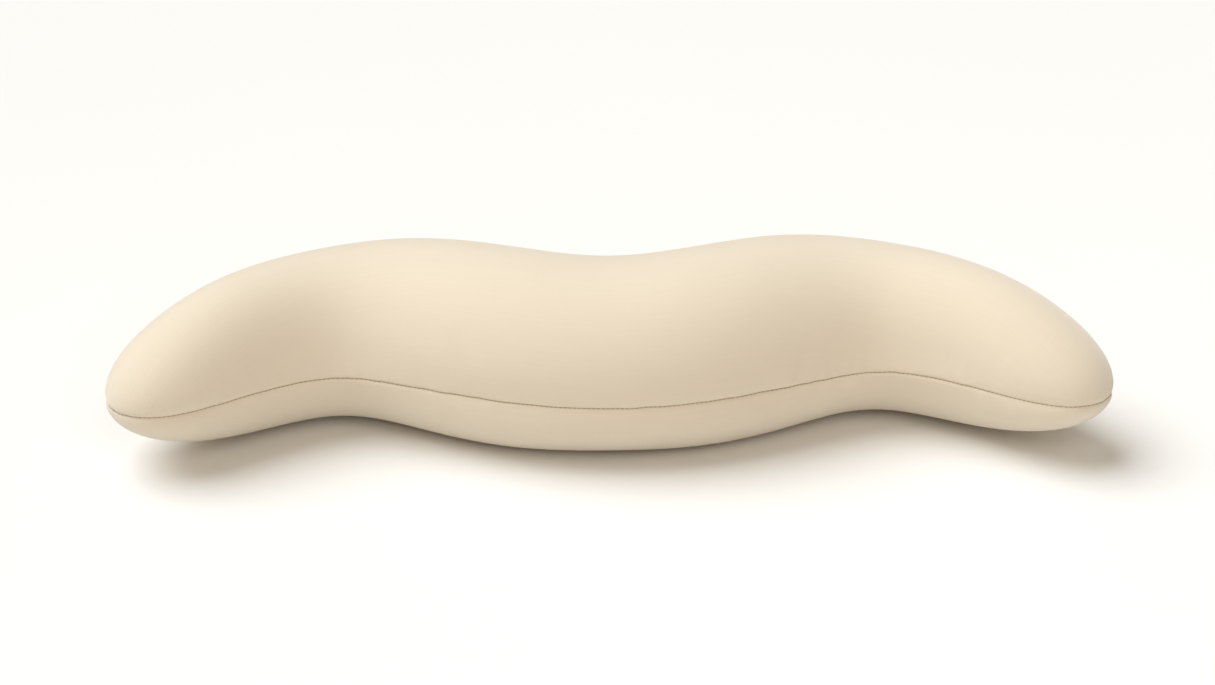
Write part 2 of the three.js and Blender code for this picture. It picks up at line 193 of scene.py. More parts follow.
def plan(s, v, inset):
    """The outline, with the zip's stretch of the back seam laid on the zip's arc."""
    x, y = free_plan(s, v, inset)
    seam_x, seam_y = free_plan(s, np.pi, 0)
    out_x, out_y = seam_x - zip_centre.x, seam_y - zip_centre.y
    radius = np.hypot(out_x, out_y)
    miss = (zip_radius - radius) * hemmed(s) * np.maximum(0, -np.cos(v)) / radius
    return x + out_x * miss, y + out_y * miss


def crown_height(s, upper):
    """Height of a panel's crown off the seam's plane."""
    return (TOP_HEIGHT if upper else BOTTOM_DEPTH) * eased(HEIGHT_SHAPE, s)


SIM_ALONG = 200
SIM_ROUND = 26
sway = np.zeros((2, SIM_ALONG + 1, SIM_ROUND + 1, 3))  # how far the filling moved the cloth


def blended(place, count):
    """Weights of the nearest of count even steps at each place, as a cubic B-spline."""
    away = np.abs(place[..., None] - np.arange(count))
    near = 2 / 3 - away ** 2 + away ** 3 / 2
    weight = np.where(away < 1, near, np.maximum(0, 2 - away) ** 3 / 6)
    return weight / weight.sum(-1, keepdims=True)


def swayed(s, v, upper):
    """How far the filling moved the cloth at each station and angle."""
    s, v = np.broadcast_arrays(s, v)
    along = blended((np.arcsin(s[:, 0]) / np.pi + 0.5) * SIM_ALONG, SIM_ALONG + 1)
    columns = np.einsum("ai,ijk->ajk", along, sway[0 if upper else 1])
    return np.einsum("abj,ajk->abk", blended(v / np.pi * SIM_ROUND, SIM_ROUND + 1), columns)


def surface(s, v, upper, inset, crown, base, pressed=True):
    """Points of a layer: inset at the seam, crown below the top, its edge base off the seam's plane."""
    full = PANEL_GAP + crown_height(s, upper)
    height = base + (full - crown - base) * fullness(s) * np.sin(v)
    x, y = plan(s, v, inset)
    points = gathered(x, y, height if upper else -height) + swayed(s, v, upper)
    if pressed and not upper:
        past = -points[..., 2] - (seam_height - crown)
        points[..., 2] += (past + np.sqrt(past ** 2 + PRESS_SOFTNESS ** 2)) / 2
    points[..., 2] += seam_z
    return points


def pucker(s):
    """How far the seam's thread gathers the cloth in at a station."""
    place = s * SPINE_HALF_LENGTH
    waves = sum(size * np.sin(2 * np.pi * place / length + phase) for length, size, phase in PUCKERS)
    patch = np.sin(2 * np.pi * place / PUCKER_PATCH + 1.2) ** 2
    return waves * (PUCKER_LEAST + (1 - PUCKER_LEAST) * patch)


def edge_lift(s, v):
    """How far the panel's edge stands off the seam's plane: it opens round the zip."""
    return np.where(v > np.pi / 2, slot_open(s) * (ZIP_SLOT / 2 - PANEL_GAP), 0)


def edge_inset(s, v, height):
    """How far the cover is drawn in at a height above the panel's edge."""
    tuck = SEAM_TUCK * np.exp(-height / SEAM_TUCK_REACH) + SEAM_DIP * np.exp(-height / SEAM_DIP_REACH)
    tuck = tuck + pucker(s) * np.exp(-height / PUCKER_REACH)
    below = np.maximum(0, FOLD_RADIUS - height)
    fold = FOLD_RADIUS - np.sqrt(np.maximum(0, FOLD_RADIUS ** 2 - below ** 2))
    share = np.where(v > np.pi / 2, slot_open(s), 0)
    quiet = 1 - np.where(v > np.pi / 2, hemmed(s), 0)
    return (tuck * quiet + fold * share) * np.minimum(1, 40 * (1 - np.abs(s)) + TIP_TUCK)


def cover_face(s, v, upper, depth):
    """The cover's outer face at depth 0, or a face that far inside it."""
    base = SEWN_EDGE + depth
    full = PANEL_GAP + crown_height(s, upper)
    height = base + (full - depth - base) * fullness(s) * np.sin(v)
    above = np.maximum(0, height - SEWN_EDGE - edge_lift(s, v))
    return surface(s, v, upper, depth + edge_inset(s, v, above), depth, base)


def back_angle(s, upper):
    """The angle of a panel's edge at the back, where it opens round the zip."""
    lift = slot_open(s) * (ZIP_SLOT / 2 - PANEL_GAP)
    top = crown_height(s, upper) * fullness(s) + 1e-9
    return np.pi - np.arcsin(np.where(lift > 0, lift / top, 0))


def rows(count, crowding):
    """Steps from 0 to 1, closer together towards both ends."""
    t = np.linspace(0, 1, count + 1)
    return t - crowding * np.sin(2 * np.pi * t) / (2 * np.pi)


def lofted(name, rings, cloth=None, open_ended=False):
    """A closed mesh through rings of points, with a UV map of cloth coordinates in metres."""
    along, around = rings.shape[:2]
    i, j = np.meshgrid(np.arange(along - 1), np.arange(around), indexing="ij")
    k = (j + 1) % around
    corners = np.stack([i * around + j, (i + 1) * around + j, (i + 1) * around + k, i * around + k], -1)
    corners = corners.reshape(-1, 4)
    points = rings.reshape(-1, 3)
    _, first, merged = np.unique(np.round(points, 7), axis=0, return_index=True, return_inverse=True)
    merged = merged.ravel()
    a, b, c, d = (points[corners[:, n]] for n in range(4))
    if (np.cross(c - a, d - b) * (a + c)).sum() < 0:
        corners = corners[:, ::-1]
    faces, sources = [], []
    for face in corners:
        kept = [n for n, at in enumerate(face) if merged[at] != merged[face[n - 1]]]
        if len(kept) > 2:
            faces.append([merged[face[n]] for n in kept])
            sources.extend(face[n] for n in kept)
    if open_ended:
        ends = [np.arange(around), (along - 1) * around + np.arange(around)]
        middle = rings.mean((0, 1))
        for end in ends:
            ring = points[end]
            turn = np.cross(ring, np.roll(ring, -1, 0)).sum(0)
            end = end if turn @ (ring.mean(0) - middle) > 0 else end[::-1]
            faces.append([merged[n] for n in end])
            sources.extend(end)
    mesh = bpy.data.meshes.new(name)
    mesh.from_pydata(points[first].tolist(), [], faces)
    if cloth is not None:
        layer = mesh.uv_layers.new(name="cloth")
        layer.data.foreach_set("uv", cloth.reshape(-1, 2)[sources].astype(np.float32).ravel())
    return placed(name, mesh)


def linked(name, data):
    """A new object, in the scene."""
    piece = bpy.data.objects.new(name, data)
    bpy.context.scene.collection.objects.link(piece)
    return piece


def placed(name, mesh, sharp=50):
    """An object of a mesh, smooth but for edges sharper than an angle in degrees."""
    mesh.polygons.foreach_set("use_smooth", [True] * len(mesh.polygons))
    mesh.set_sharp_from_angle(angle=math.radians(sharp))
    return linked(name, mesh)


def cloth_lengths(points):
    """Distances along and round a grid of points, from its middle station and its crown."""
    along = np.linalg.norm(np.diff(points, axis=0), axis=-1)
    along = np.concatenate([np.zeros((1, points.shape[1])), np.cumsum(along, 0)])
    around = np.linalg.norm(np.diff(points, axis=1), axis=-1)
    around = np.concatenate([np.zeros((points.shape[0], 1)), np.cumsum(around, 1)], 1)
    middle = [n // 2 for n in points.shape[:2]]
    return np.stack([along - along[middle[0]], around - around[:, middle[1]:middle[1] + 1]], -1)


def cover_panel(name, upper):
    """One panel: its outside, then its allowance at the back, its inside and its front allowance."""
    s = stations(STEPS_ALONG)
    last = back_angle(s, upper)
    outside = cover_face(s, rows(ROWS_OUTSIDE, 0.9) * last, upper, 0)
    inside = cover_face(s, rows(ROWS_INSIDE, 0.6) * last, upper, KNIT_THICKNESS)
    way = 1 if upper else -1

    def turned_in(v, width):
        lift = edge_lift(s, v)
        x, y = plan(s, v, width)
        low = gathered(x, y, way * (SEWN_EDGE + lift) + seam_z) + swayed(s, v, upper)
        return np.stack([low[:, 0], low[:, 0] + [0, 0, way * KNIT_THICKNESS]], 1)

    front = turned_in(np.zeros_like(s), ALLOWANCE)
    back = turned_in(last, ALLOWANCE + (HEM - ALLOWANCE) * hemmed(s))
    rings = np.concatenate([outside, back, inside[:, ::-1], front[:, ::-1]], 1)
    outer_cloth = cloth_lengths(outside)
    inner_cloth = cloth_lengths(inside)[:, ::-1]
    cloth = np.concatenate([
        outer_cloth, outer_cloth[:, -1:] + [[[0, HEM]]], outer_cloth[:, -1:] + [[[0, 2 * HEM]]],
        inner_cloth, outer_cloth[:, :1] - [[[0, 2 * HEM]]], outer_cloth[:, :1] - [[[0, HEM]]],
    ], 1)
    return lofted(name, rings, cloth)


# The filling presses the cloth out from inside while the seam's thread draws it together. The core
# holds the shape of the whole, so only the ripples that this leaves in the cloth are kept.
SIM_PRESSURE = 4
SIM_FRAMES = 20
SIM_INSET = 0.0012  # the bag is cut smaller than the filling
SIM_SHRINK = 0.09  # the thread's pull along the seam
SIM_HOLD = 0.5  # the core's grip on the cloth
SIM_CAP = 0.0025
RIPPLE_LENGTH = 8  # in steps along the bag, past which a ripple is shape
RIPPLE_WIDTH = 4
TIP_CALM = 6  # steps over which the ripples start, from each tip


def evened(field, axis, width, closed):
    """A field of vectors smoothed along one axis, which may run round a ring."""
    count = field.shape[axis]
    apart = np.abs(np.arange(count)[:, None] - np.arange(count))
    if closed:
        apart = np.minimum(apart, count - apart)
    weight = np.exp(-(apart / width) ** 2 / 2)
    weight /= weight.sum(1, keepdims=True)
    return np.moveaxis(np.tensordot(weight, field, (1, axis)), 0, axis)


def bag_rings(inset):
    """Stations, and rings of points right round the roll, an inset inside the cover."""
    s = stations(SIM_ALONG)
    v = np.linspace(0, np.pi, SIM_ROUND + 1)[None, :]
    top, bottom = (surface(s, v, upper, inset, inset, 0, pressed=False) for upper in (True, False))
    return s[:, 0], np.concatenate([top, bottom[:, -2:0:-1]], 1)


def filled_bag():
    """How far each point of the bag moves when it is filled."""
    s, rings = bag_rings(SIM_INSET)
    bag = lofted("bag", rings)
    _, where = np.unique(np.round(rings.reshape(-1, 3), 7), axis=0, return_inverse=True)
    where = where.ravel().reshape(rings.shape[:2])
    held = bag.vertex_groups.new(name="held")
    drawn = bag.vertex_groups.new(name="drawn")
    held.add(list(range(len(bag.data.vertices))), SIM_HOLD, "REPLACE")
    for at, zipped in zip(where, hemmed(s)):
        drawn.add([int(at[0])], 1, "REPLACE")
        drawn.add([int(at[SIM_ROUND])], 1 - float(zipped), "REPLACE")
        for row in range(SIM_ROUND - 1, SIM_ROUND + 2):
            held.add([int(at[row])], SIM_HOLD + (1 - SIM_HOLD) * float(zipped), "REPLACE")
    cloth = bag.modifiers.new("filling", "CLOTH")
    for key, value in {
            "quality": 8, "mass": 0.2, "tension_stiffness": 60, "compression_stiffness": 60,
            "shear_stiffness": 20, "bending_stiffness": 0.6, "use_pressure": True,
            "uniform_pressure_force": SIM_PRESSURE, "vertex_group_mass": "held",
            "vertex_group_shrink": "drawn", "shrink_min": 0, "shrink_max": SIM_SHRINK}.items():
        setattr(cloth.settings, key, value)
    cloth.settings.effector_weights.gravity = 0
    cloth.collision_settings.use_collision = False
    cloth.point_cache.frame_start, cloth.point_cache.frame_end = 1, SIM_FRAMES
    for step in range(1, SIM_FRAMES + 1):
        bpy.context.scene.frame_set(step)
    filled = bag.evaluated_get(bpy.context.evaluated_depsgraph_get()).to_mesh()
    points = np.array([v.co for v in filled.vertices])[where]
    bpy.data.objects.remove(bag)
    bpy.context.scene.frame_set(1)
    return points - bag_rings(0)[1]


ripple = filled_bag()
ripple = ripple - evened(evened(ripple, 0, RIPPLE_LENGTH, False), 1, RIPPLE_WIDTH, True)
ripple *= np.minimum(1, SIM_CAP / np.maximum(np.linalg.norm(ripple, axis=-1, keepdims=True), 1e-9))
ring = ripple.mean(1, keepdims=True)
from_tip = SIM_ALONG / 2 - np.abs(np.arange(SIM_ALONG + 1) - SIM_ALONG / 2)
ripple = ring + (ripple - ring) * np.clip((from_tip - 1) / TIP_CALM, 0, 1)[:, None, None]
sway[0] = ripple[:, :SIM_ROUND + 1]
sway[1] = np.concatenate([ripple[:, :1], ripple[:, :SIM_ROUND - 1:-1]], 1)

KNIT_COLOUR = (0.785, 0.68, 0.532, 1)
WALE = 0.0009  # between columns of knit loops, which run along the cushion
COURSE = 0.0007
KNIT_DEPTH = 0.00012
LOOP_SLANT = 1.3  # of each leg of a loop, in courses for a wale


def shader_of(name):
    """A new material, its node tree and its shader."""
    material = bpy.data.materials.new(name)
    material.use_nodes = True
    return material, material.node_tree, material.node_tree.nodes["Principled BSDF"]


def wired(made, inputs):
    """A node with its inputs linked to sockets, or set to values."""
    for key, value in dict(inputs).items():
        if isinstance(value, bpy.types.NodeSocket):
            made.id_data.links.new(value, made.inputs[key])
        else:
            made.inputs[key].default_value = value
    return made


def node(tree, kind, inputs=(), **settings):
    """A new node with its settings made and its inputs wired."""
    made = tree.nodes.new(kind)
    for key, value in settings.items():
        setattr(made, key, value)
    return wired(made, inputs)


def cloth_place(tree):
    """The cloth's own coordinates, in metres along and across it."""
    return node(tree, "ShaderNodeUVMap", uv_map="cloth").outputs[0]


def solid_place(tree):
    """The object's own coordinates, in metres."""
    return node(tree, "ShaderNodeTexCoord").outputs["Object"]


def calc(operation, *values):
    """The output of a sum on sockets and numbers."""
    tree = next(value.id_data for value in values if isinstance(value, bpy.types.NodeSocket))
    return node(tree, "ShaderNodeMath", dict(enumerate(values)), operation=operation).outputs[0]


def times(first, second):
    return calc("MULTIPLY", first, second)


def plus(first, second):
    return calc("ADD", first, second)


def noise(place, scale, detail=3, roughness=0.5):
    """The strength, from 0 to 1, of noise at a place. The scale is for all axes, or for each."""
    tree = place.id_data
    if isinstance(scale, tuple):
        place = node(tree, "ShaderNodeMapping", {"Vector": place, "Scale": scale}).outputs[0]
        scale = 1
    return node(tree, "ShaderNodeTexNoise", {
        "Vector": place, "Scale": scale, "Detail": detail, "Roughness": roughness}).outputs["Fac"]


def mixed(share, first, second):
    """A share of the way from one colour to another."""
    mix = node(share.id_data, "ShaderNodeMix", data_type="RGBA")
    sockets = {"Factor_Float": share, "A_Color": first, "B_Color": second}
    wired(mix, {
        n: sockets[socket.identifier] for n, socket in enumerate(mix.inputs)
        if socket.identifier in sockets})
    return next(socket for socket in mix.outputs if socket.identifier == "Result_Color")


def tinted(colour, factor):
    """A colour made darker or lighter."""
    return tuple(c * factor for c in colour[:3]) + (1,)


def shaded(share, colour, dark, light):
    """A share of the way from a colour made darker to the same made lighter."""
    return mixed(share, tinted(colour, dark), tinted(colour, light))


def bumped(height, distance, strength):
    """The normal of a relief, from its height."""
    return node(height.id_data, "ShaderNodeBump", {
        "Height": height, "Distance": distance, "Strength": strength}).outputs[0]


def knit_finish():
    material, tree, shader = shader_of("cream_knit")
    place = cloth_place(tree)
    along, across, _ = node(tree, "ShaderNodeSeparateXYZ", {0: place}).outputs
    wale = calc("DIVIDE", across, WALE)
    leg = calc("PINGPONG", wale, 0.5)  # 0 between the wales, 0.5 at the middle of one
    course = plus(calc("DIVIDE", along, COURSE), times(leg, LOOP_SLANT))
    yarn = calc("ABSOLUTE", calc("SINE", times(course, math.pi)))
    round_leg = calc("SINE", times(leg, 2 * math.pi))
    loops = times(calc("POWER", yarn, 0.6), calc("POWER", round_leg, 0.5))
    streaks = noise(place, (22, 620, 1), 2)
    clouds = noise(place, (9, 9, 1), 3)
    fuzz = noise(place, (2600, 2600, 1), 2)
    shade = plus(times(streaks, 0.5), times(clouds, 0.5))
    base = shaded(shade, KNIT_COLOUR, 0.94, 1.05)
    # Painted shade: the knit is darker in the hollows between its loops, where the yarn dips.
    colour = mixed(times(calc("SUBTRACT", 1, loops), 0.16), base, tinted(KNIT_COLOUR, 0.62))
    height = plus(loops, plus(times(streaks, 0.9), times(fuzz, 0.35)))
    wired(shader, {
        "Base Color": colour, "Normal": bumped(height, KNIT_DEPTH, 0.55), "Roughness": 0.92,
        "Specular IOR Level": 0.25, "Sheen Weight": 0.6, "Sheen Roughness": 0.5,
        "Sheen Tint": (1, 0.99, 0.97, 1)})
    return material


knit = knit_finish()
for upper, name, node_name in (
        (True, "top_cover", "cover_top_panel"),
        (False, "bottom_cover", "cover_bottom_panel")):
    panel = cover_panel(name, upper)
    panel.data.materials.append(knit)
    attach(panel, "cushion")
    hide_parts(node_name)

# Seam stitches of the cover: a lockstitch in spun thread all round the waist, in the groove
# between the two panels. It stops at each end of the zip.
STITCH_PITCH = 0.0029
STITCH_LENGTH = 0.0024
STITCH_THREAD = 0.00045
STITCH_RISE = 0.00025  # out of the bottom of the groove
THREAD_COLOUR = (0.50, 0.38, 0.24, 1)


def growing_tree(name, sizes):
    """A node tree that takes a line, some sizes and a material, and its inputs' sockets."""
    tree = bpy.data.node_groups.new(name, "GeometryNodeTree")
    face = tree.interface
    face.new_socket("Line", in_out="INPUT", socket_type="NodeSocketGeometry")
    for size in sizes:
        face.new_socket(size, in_out="INPUT", socket_type="NodeSocketFloat")
    face.new_socket("Finish", in_out="INPUT", socket_type="NodeSocketMaterial")
    face.new_socket("Grown", in_out="OUTPUT", socket_type="NodeSocketGeometry")
    return tree, tree.nodes.new("NodeGroupInput").outputs


def tree_end(tree, shape, material):
    """The tree's last nodes: its shape made real, smooth and in its material."""
    real = node(tree, "GeometryNodeRealizeInstances", {0: shape})
    smooth = node(tree, "GeometryNodeSetShadeSmooth", {"Geometry": real.outputs[0]})
    finish = node(
        tree, "GeometryNodeSetMaterial", {"Geometry": smooth.outputs[0], "Material": material})
    tree.links.new(finish.outputs[0], tree.nodes.new("NodeGroupOutput").inputs[0])


def stitch_tree():
    """Short plump stitches, end to end along a line."""
    tree, given = growing_tree("stitches", ("Pitch", "Stitch length", "Thread diameter"))
    line = node(tree, "GeometryNodeMeshToCurve", {0: given["Line"]}).outputs[0]
    even = node(
        tree, "GeometryNodeResampleCurve", {"Curve": line, "Length": given["Pitch"]}, mode="LENGTH")
    size = node(tree, "ShaderNodeCombineXYZ", {
        "X": given["Stitch length"], "Y": given["Thread diameter"], "Z": given["Thread diameter"]})
    bead = node(tree, "GeometryNodeMeshUVSphere", {"Segments": 8, "Rings": 6, "Radius": 0.5})
    turned = node(
        tree, "GeometryNodeTransform", {"Geometry": bead.outputs[0], "Rotation": (0, math.pi / 2, 0)})
    stitch = node(
        tree, "GeometryNodeTransform", {"Geometry": turned.outputs[0], "Scale": size.outputs[0]})
    tangent = node(tree, "GeometryNodeInputTangent").outputs[0]
    lie = node(tree, "FunctionNodeAlignRotationToVector", {"Vector": tangent}, axis="X")
    copies = node(tree, "GeometryNodeInstanceOnPoints", {
        "Points": even.outputs[0], "Instance": stitch.outputs[0], "Rotation": lie.outputs[0]})
    tree_end(tree, copies.outputs[0], given["Finish"])
    return tree


def grown(name, tree, lines, **inputs):
    """A plain mesh of what a node tree makes along lines of points."""
    points = [tuple(p) for line in lines for p in line]
    edges, start = [], 0
    for line in lines:
        edges += [(start + n, start + n + 1) for n in range(len(line) - 1)]
        start += len(line)
    mesh = bpy.data.meshes.new(name + "_line")
    mesh.from_pydata(points, edges, [])
    carrier = linked(name + "_line", mesh)
    modifier = carrier.modifiers.new(name, "NODES")
    modifier.node_group = tree
    for item in tree.interface.items_tree:
        word = item.name.replace(" ", "_").lower()
        if item.in_out == "INPUT" and word in inputs:
            modifier[item.identifier] = inputs[word]
    graph = bpy.context.evaluated_depsgraph_get()
    made = bpy.data.meshes.new_from_object(carrier.evaluated_get(graph), depsgraph=graph)
    made.name = name
    bpy.data.objects.remove(carrier)
    return linked(name, made)


def thread_finish(name, colour):
    material, tree, shader = shader_of(name)
    place = solid_place(tree)
    twist = noise(place, (2600, 2600, 2600), 2)
    fade = noise(place, 60, 2)
    shade = times(plus(twist, fade), 0.5)
    wired(shader, {
        "Base Color": shaded(shade, colour, 0.75, 1.2),
        "Normal": bumped(twist, 0.00006, 0.8), "Roughness": 0.8, "Sheen Weight": 0.3})
    return material


def sewn_line(s, v, inset):
    """Points on the seam's plane, at an inset from the outline."""
    x, y = plan(s, v, inset)
    return (gathered(x, y, seam_z) + swayed(s, v, True))[:, 0]


def sewn(name, lines, pitch=STITCH_PITCH, length=STITCH_LENGTH):
    """Rows of stitches in the spun thread."""
    return grown(name, stitches, lines, pitch=pitch, stitch_length=length,
                 thread_diameter=STITCH_THREAD, finish=thread)


stitches = stitch_tree()
thread = thread_finish("seam_thread", THREAD_COLOUR)
steps = stations(800)
before = steps[steps[:, 0] < zip_station(-HEM_FADE)]
beyond = steps[steps[:, 0] > zip_station(ZIP_LENGTH + HEM_FADE)]


def groove_line(s, angle):
    """Points along the groove, at the front or the back of the roll."""
    v = np.full_like(s, angle)
    return sewn_line(s, v, edge_inset(s, v, np.zeros_like(s)) - STITCH_RISE)


waist = np.concatenate([
    groove_line(beyond, np.pi), groove_line(steps[::-1], 0)[1:-1], groove_line(before, np.pi)])
seam = sewn("cover_seam_stitches", [waist])
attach(seam, "cushion")
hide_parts("cover_seam_thread")

# Topstitching beside the zip: one row through each hemmed edge, holding the folded knit down on
# the tape beneath it.
TOPSTITCH_PITCH = 0.0032
TOPSTITCH_LENGTH = STITCH_LENGTH * 1.1
TOPSTITCH_INSET = 0.0022  # from the folded edge
TOPSTITCH_END = 0.006  # from either end of the tapes
TOPSTITCH_RISE = 0.0001
topstitch_lines = []
for upper in (True, False):
    s = np.linspace(zip_station(TOPSTITCH_END), zip_station(ZIP_LENGTH - TOPSTITCH_END), 200)[:, None]
    lift = slot_open(s) * (ZIP_SLOT / 2 - PANEL_GAP) + TOPSTITCH_INSET
    angle = np.pi - np.arcsin(lift / (crown_height(s, upper) * fullness(s)))
    topstitch_lines.append(cover_face(s, angle, upper, -TOPSTITCH_RISE)[:, 0])
topstitching = sewn("zip_topstitching", topstitch_lines, TOPSTITCH_PITCH, TOPSTITCH_LENGTH)
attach(topstitching, "cushion")

# Zip tapes: two strips of woven polyester, one under each hemmed edge, with the coil sewn along
# their facing edges.
TAPE_SPLIT = 0.0032
TAPE_MEET = 0.0002  # half the gap where they come together, past the stops
TAPE_WIDTH = 0.011
TAPE_INSET = 0.0043
TAPE_THICKNESS = 0.0005
BOTTOM_STOP = (0.012, 0.014)  # where the stops lie along the tapes
TOP_STOP = (0.170, 0.172)
TAPE_PARTING = 0.006  # past a stop, over which the tapes come together
TAPE_RIB = 0.0011
TAPE_WEFT = 0.00055
TAPE_COLOUR = (0.60, 0.51, 0.37, 1)


def on_zip(along, depth, height):
    """A point by its distance along the zip, its depth inside the seam's outline, and its height."""
    angle = slider_angle + (SLIDER_PLACE - along) / zip_radius
    radius = zip_radius - depth
    x = zip_centre.x + radius * np.cos(angle)
    y = zip_centre.y + radius * np.sin(angle)
    return gathered(x, y, seam_z + height)


def tape_finish():
    material, tree, shader = shader_of("woven_tape")
    place = cloth_place(tree)
    along, across, _ = node(tree, "ShaderNodeSeparateXYZ", {0: place}).outputs
    rib = calc("PINGPONG", calc("DIVIDE", across, TAPE_RIB), 0.5)
    weft = plus(calc("DIVIDE", along, TAPE_WEFT), times(rib, 2))
    weave = calc("ABSOLUTE", calc("SINE", times(weft, math.pi)))
    dirt = noise(place, (90, 90, 1), 3)
    # Painted shade: the tape is darker in the gaps between its weft threads; the rest of its tone is
    # random dirt.
    shade = plus(times(weave, 0.6), times(dirt, 0.4))
    wired(shader, {
        "Base Color": shaded(shade, TAPE_COLOUR, 0.78, 1.12),
        "Normal": bumped(weave, 0.00012, 0.8), "Roughness": 0.78, "Sheen Weight": 0.2})
    return material


tape_cloth = tape_finish()
for way, name in ((1, "upper"), (-1, "lower")):
    along = np.linspace(0, ZIP_LENGTH, 93)[:, None]
    low, high = TAPE_SPLIT / 2, TAPE_SPLIT / 2 + TAPE_WIDTH
    edge = TAPE_THICKNESS / 2
    across = np.array([low, low + edge, *np.linspace(low + 0.001, high - 0.001, 8), high - edge, high])
    parted = rise(along, BOTTOM_STOP[0] - TAPE_PARTING, BOTTOM_STOP[0])
    parted = parted * (1 - rise(along, TOP_STOP[1], TOP_STOP[1] + TAPE_PARTING))
    out = TAPE_INSET + edge - edge * np.array([0, *([1] * 10), 0])
    back = TAPE_INSET + edge + edge * np.array([0, *([1] * 10), 0])
    profile = np.concatenate([across, across[-2:0:-1]])[None]
    profile = profile - (TAPE_SPLIT / 2 - TAPE_MEET) * (1 - parted)
    depth = np.concatenate([out, back[-2:0:-1]])[None]
    uv = gathered(along, profile)
    tape = lofted(name + "_tape", on_zip(along, depth, way * profile), uv, open_ended=True)
    tape.data.materials.append(tape_cloth)
    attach(tape, "cushion")
    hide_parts("zip_tape_" + name)

# Zip coils: each row is one nylon thread wound in a flat coil and sewn to its tape. The turns of
# one row lie between those of the other where they meet.
COIL_START = 0.0143
COIL_END = 0.1659
COIL_PITCH = 0.0015
COIL_WIRE = 0.00056
COIL_DEPTH = (0.0022, 0.0040)
COIL_REACH = (-0.0003, 0.0024)  # from just past the middle to the tape's edge
NYLON_COLOUR = (0.64, 0.55, 0.40, 1)


def coil_tree():
    """A flattened coil of wire along Z."""
    tree, given = growing_tree(
        "coil", ("Turns", "Length", "Half width", "Half depth", "Wire diameter"))
    spiral = node(tree, "GeometryNodeCurveSpiral", {
        "Resolution": 14, "Rotations": given["Turns"], "Start Radius": 1.0, "End Radius": 1.0,
        "Height": given["Length"]})
    size = node(tree, "ShaderNodeCombineXYZ", {
        "X": given["Half width"], "Y": given["Half depth"], "Z": 1.0})
    flat = node(
        tree, "GeometryNodeTransform", {"Geometry": spiral.outputs[0], "Scale": size.outputs[0]})
    radius = calc("DIVIDE", given["Wire diameter"], 2)
    wire = node(tree, "GeometryNodeCurvePrimitiveCircle", {"Resolution": 7, "Radius": radius})
    coil = node(tree, "GeometryNodeCurveToMesh", {
        "Curve": flat.outputs[0], "Profile Curve": wire.outputs[0], "Fill Caps": True})
    tree_end(tree, coil.outputs[0], given["Finish"])
    return tree


def nylon_finish():
    material, tree, shader = shader_of("nylon")
    place = solid_place(tree)
    haze = noise(place, 900, 2)
    wired(shader, {
        "Base Color": shaded(haze, NYLON_COLOUR, 0.9, 1.1),
        "Normal": bumped(haze, 0.00002, 0.5), "Roughness": 0.38, "IOR": 1.53})
    return material


nylon = nylon_finish()
coils = coil_tree()
for way, name in ((1, "upper"), (-1, "lower")):
    length = COIL_END - COIL_START - COIL_WIRE
    coil = grown(name + "_coil", coils, [[(0, 0, 0), (0, 0, 1)]],
                 turns=length / COIL_PITCH, length=length,
                 half_width=(COIL_REACH[1] - COIL_REACH[0] - COIL_WIRE) / 2,
                 half_depth=(COIL_DEPTH[1] - COIL_DEPTH[0] - COIL_WIRE) / 2,
                 wire_diameter=COIL_WIRE, finish=nylon)
    co = np.array([v.co for v in coil.data.vertices])
    shifted = COIL_START + COIL_WIRE / 2 + co[:, 2] + way * COIL_PITCH / 4
    height = sum(COIL_REACH) / 2 - co[:, 0]
    laid = on_zip(shifted, sum(COIL_DEPTH) / 2 + co[:, 1], way * height)
    coil.data.vertices.foreach_set("co", laid.astype(np.float32).ravel())
    if way < 0:
        coil.data.flip_normals()
    coil.data.update()
    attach(coil, "cushion")
    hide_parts("zip_coil_" + name)

# Stops: small clamps of lacquered brass. Two at the closed end, one on each tape, keep the slider
# on, and one across both rows joins them at the other end.
STOP_ROUNDING = 0.00035
TOP_STOP_REACH = 0.0034  # from the middle of the zip, over a tape's edge
BOTTOM_STOP_REACH = 0.0024
METAL_COLOUR = (0.56, 0.47, 0.33, 1)


def metal_finish():
    material, tree, shader = shader_of("lacquered_metal")
    place = solid_place(tree)
    grain = noise(place, 1500, 3)
    wear = noise(place, 420, 4, 0.7)
    worn = calc("GREATER_THAN", wear, 0.66)
    colour = shaded(grain, METAL_COLOUR, 0.92, 1.08)
    wired(shader, {
        "Base Color": mixed(times(worn, 0.5), colour, (0.72, 0.66, 0.55, 1)),
        "Roughness": plus(0.26, times(wear, 0.2)),
        "Normal": bumped(grain, 0.00003, 0.5), "Metallic": 0.55, "Coat Weight": 0.35,
        "Coat Roughness": 0.2})
    return material


def block(low, high, rounding):
    """A block with rounded edges, as points and faces."""
    mesh = bpy.data.meshes.new("block")
    build = bmesh.new()
    size = [h - l for l, h in zip(low, high)]
    middle = [(h + l) / 2 for l, h in zip(low, high)]
    fit = Matrix.Translation(middle) @ Matrix.Diagonal((*size, 1))
    bmesh.ops.create_cube(build, size=1, matrix=fit)
    bmesh.ops.bevel(
        build, geom=build.edges[:], offset=rounding, segments=3, affect="EDGES", profile=0.5)
    build.to_mesh(mesh)
    build.free()
    return mesh


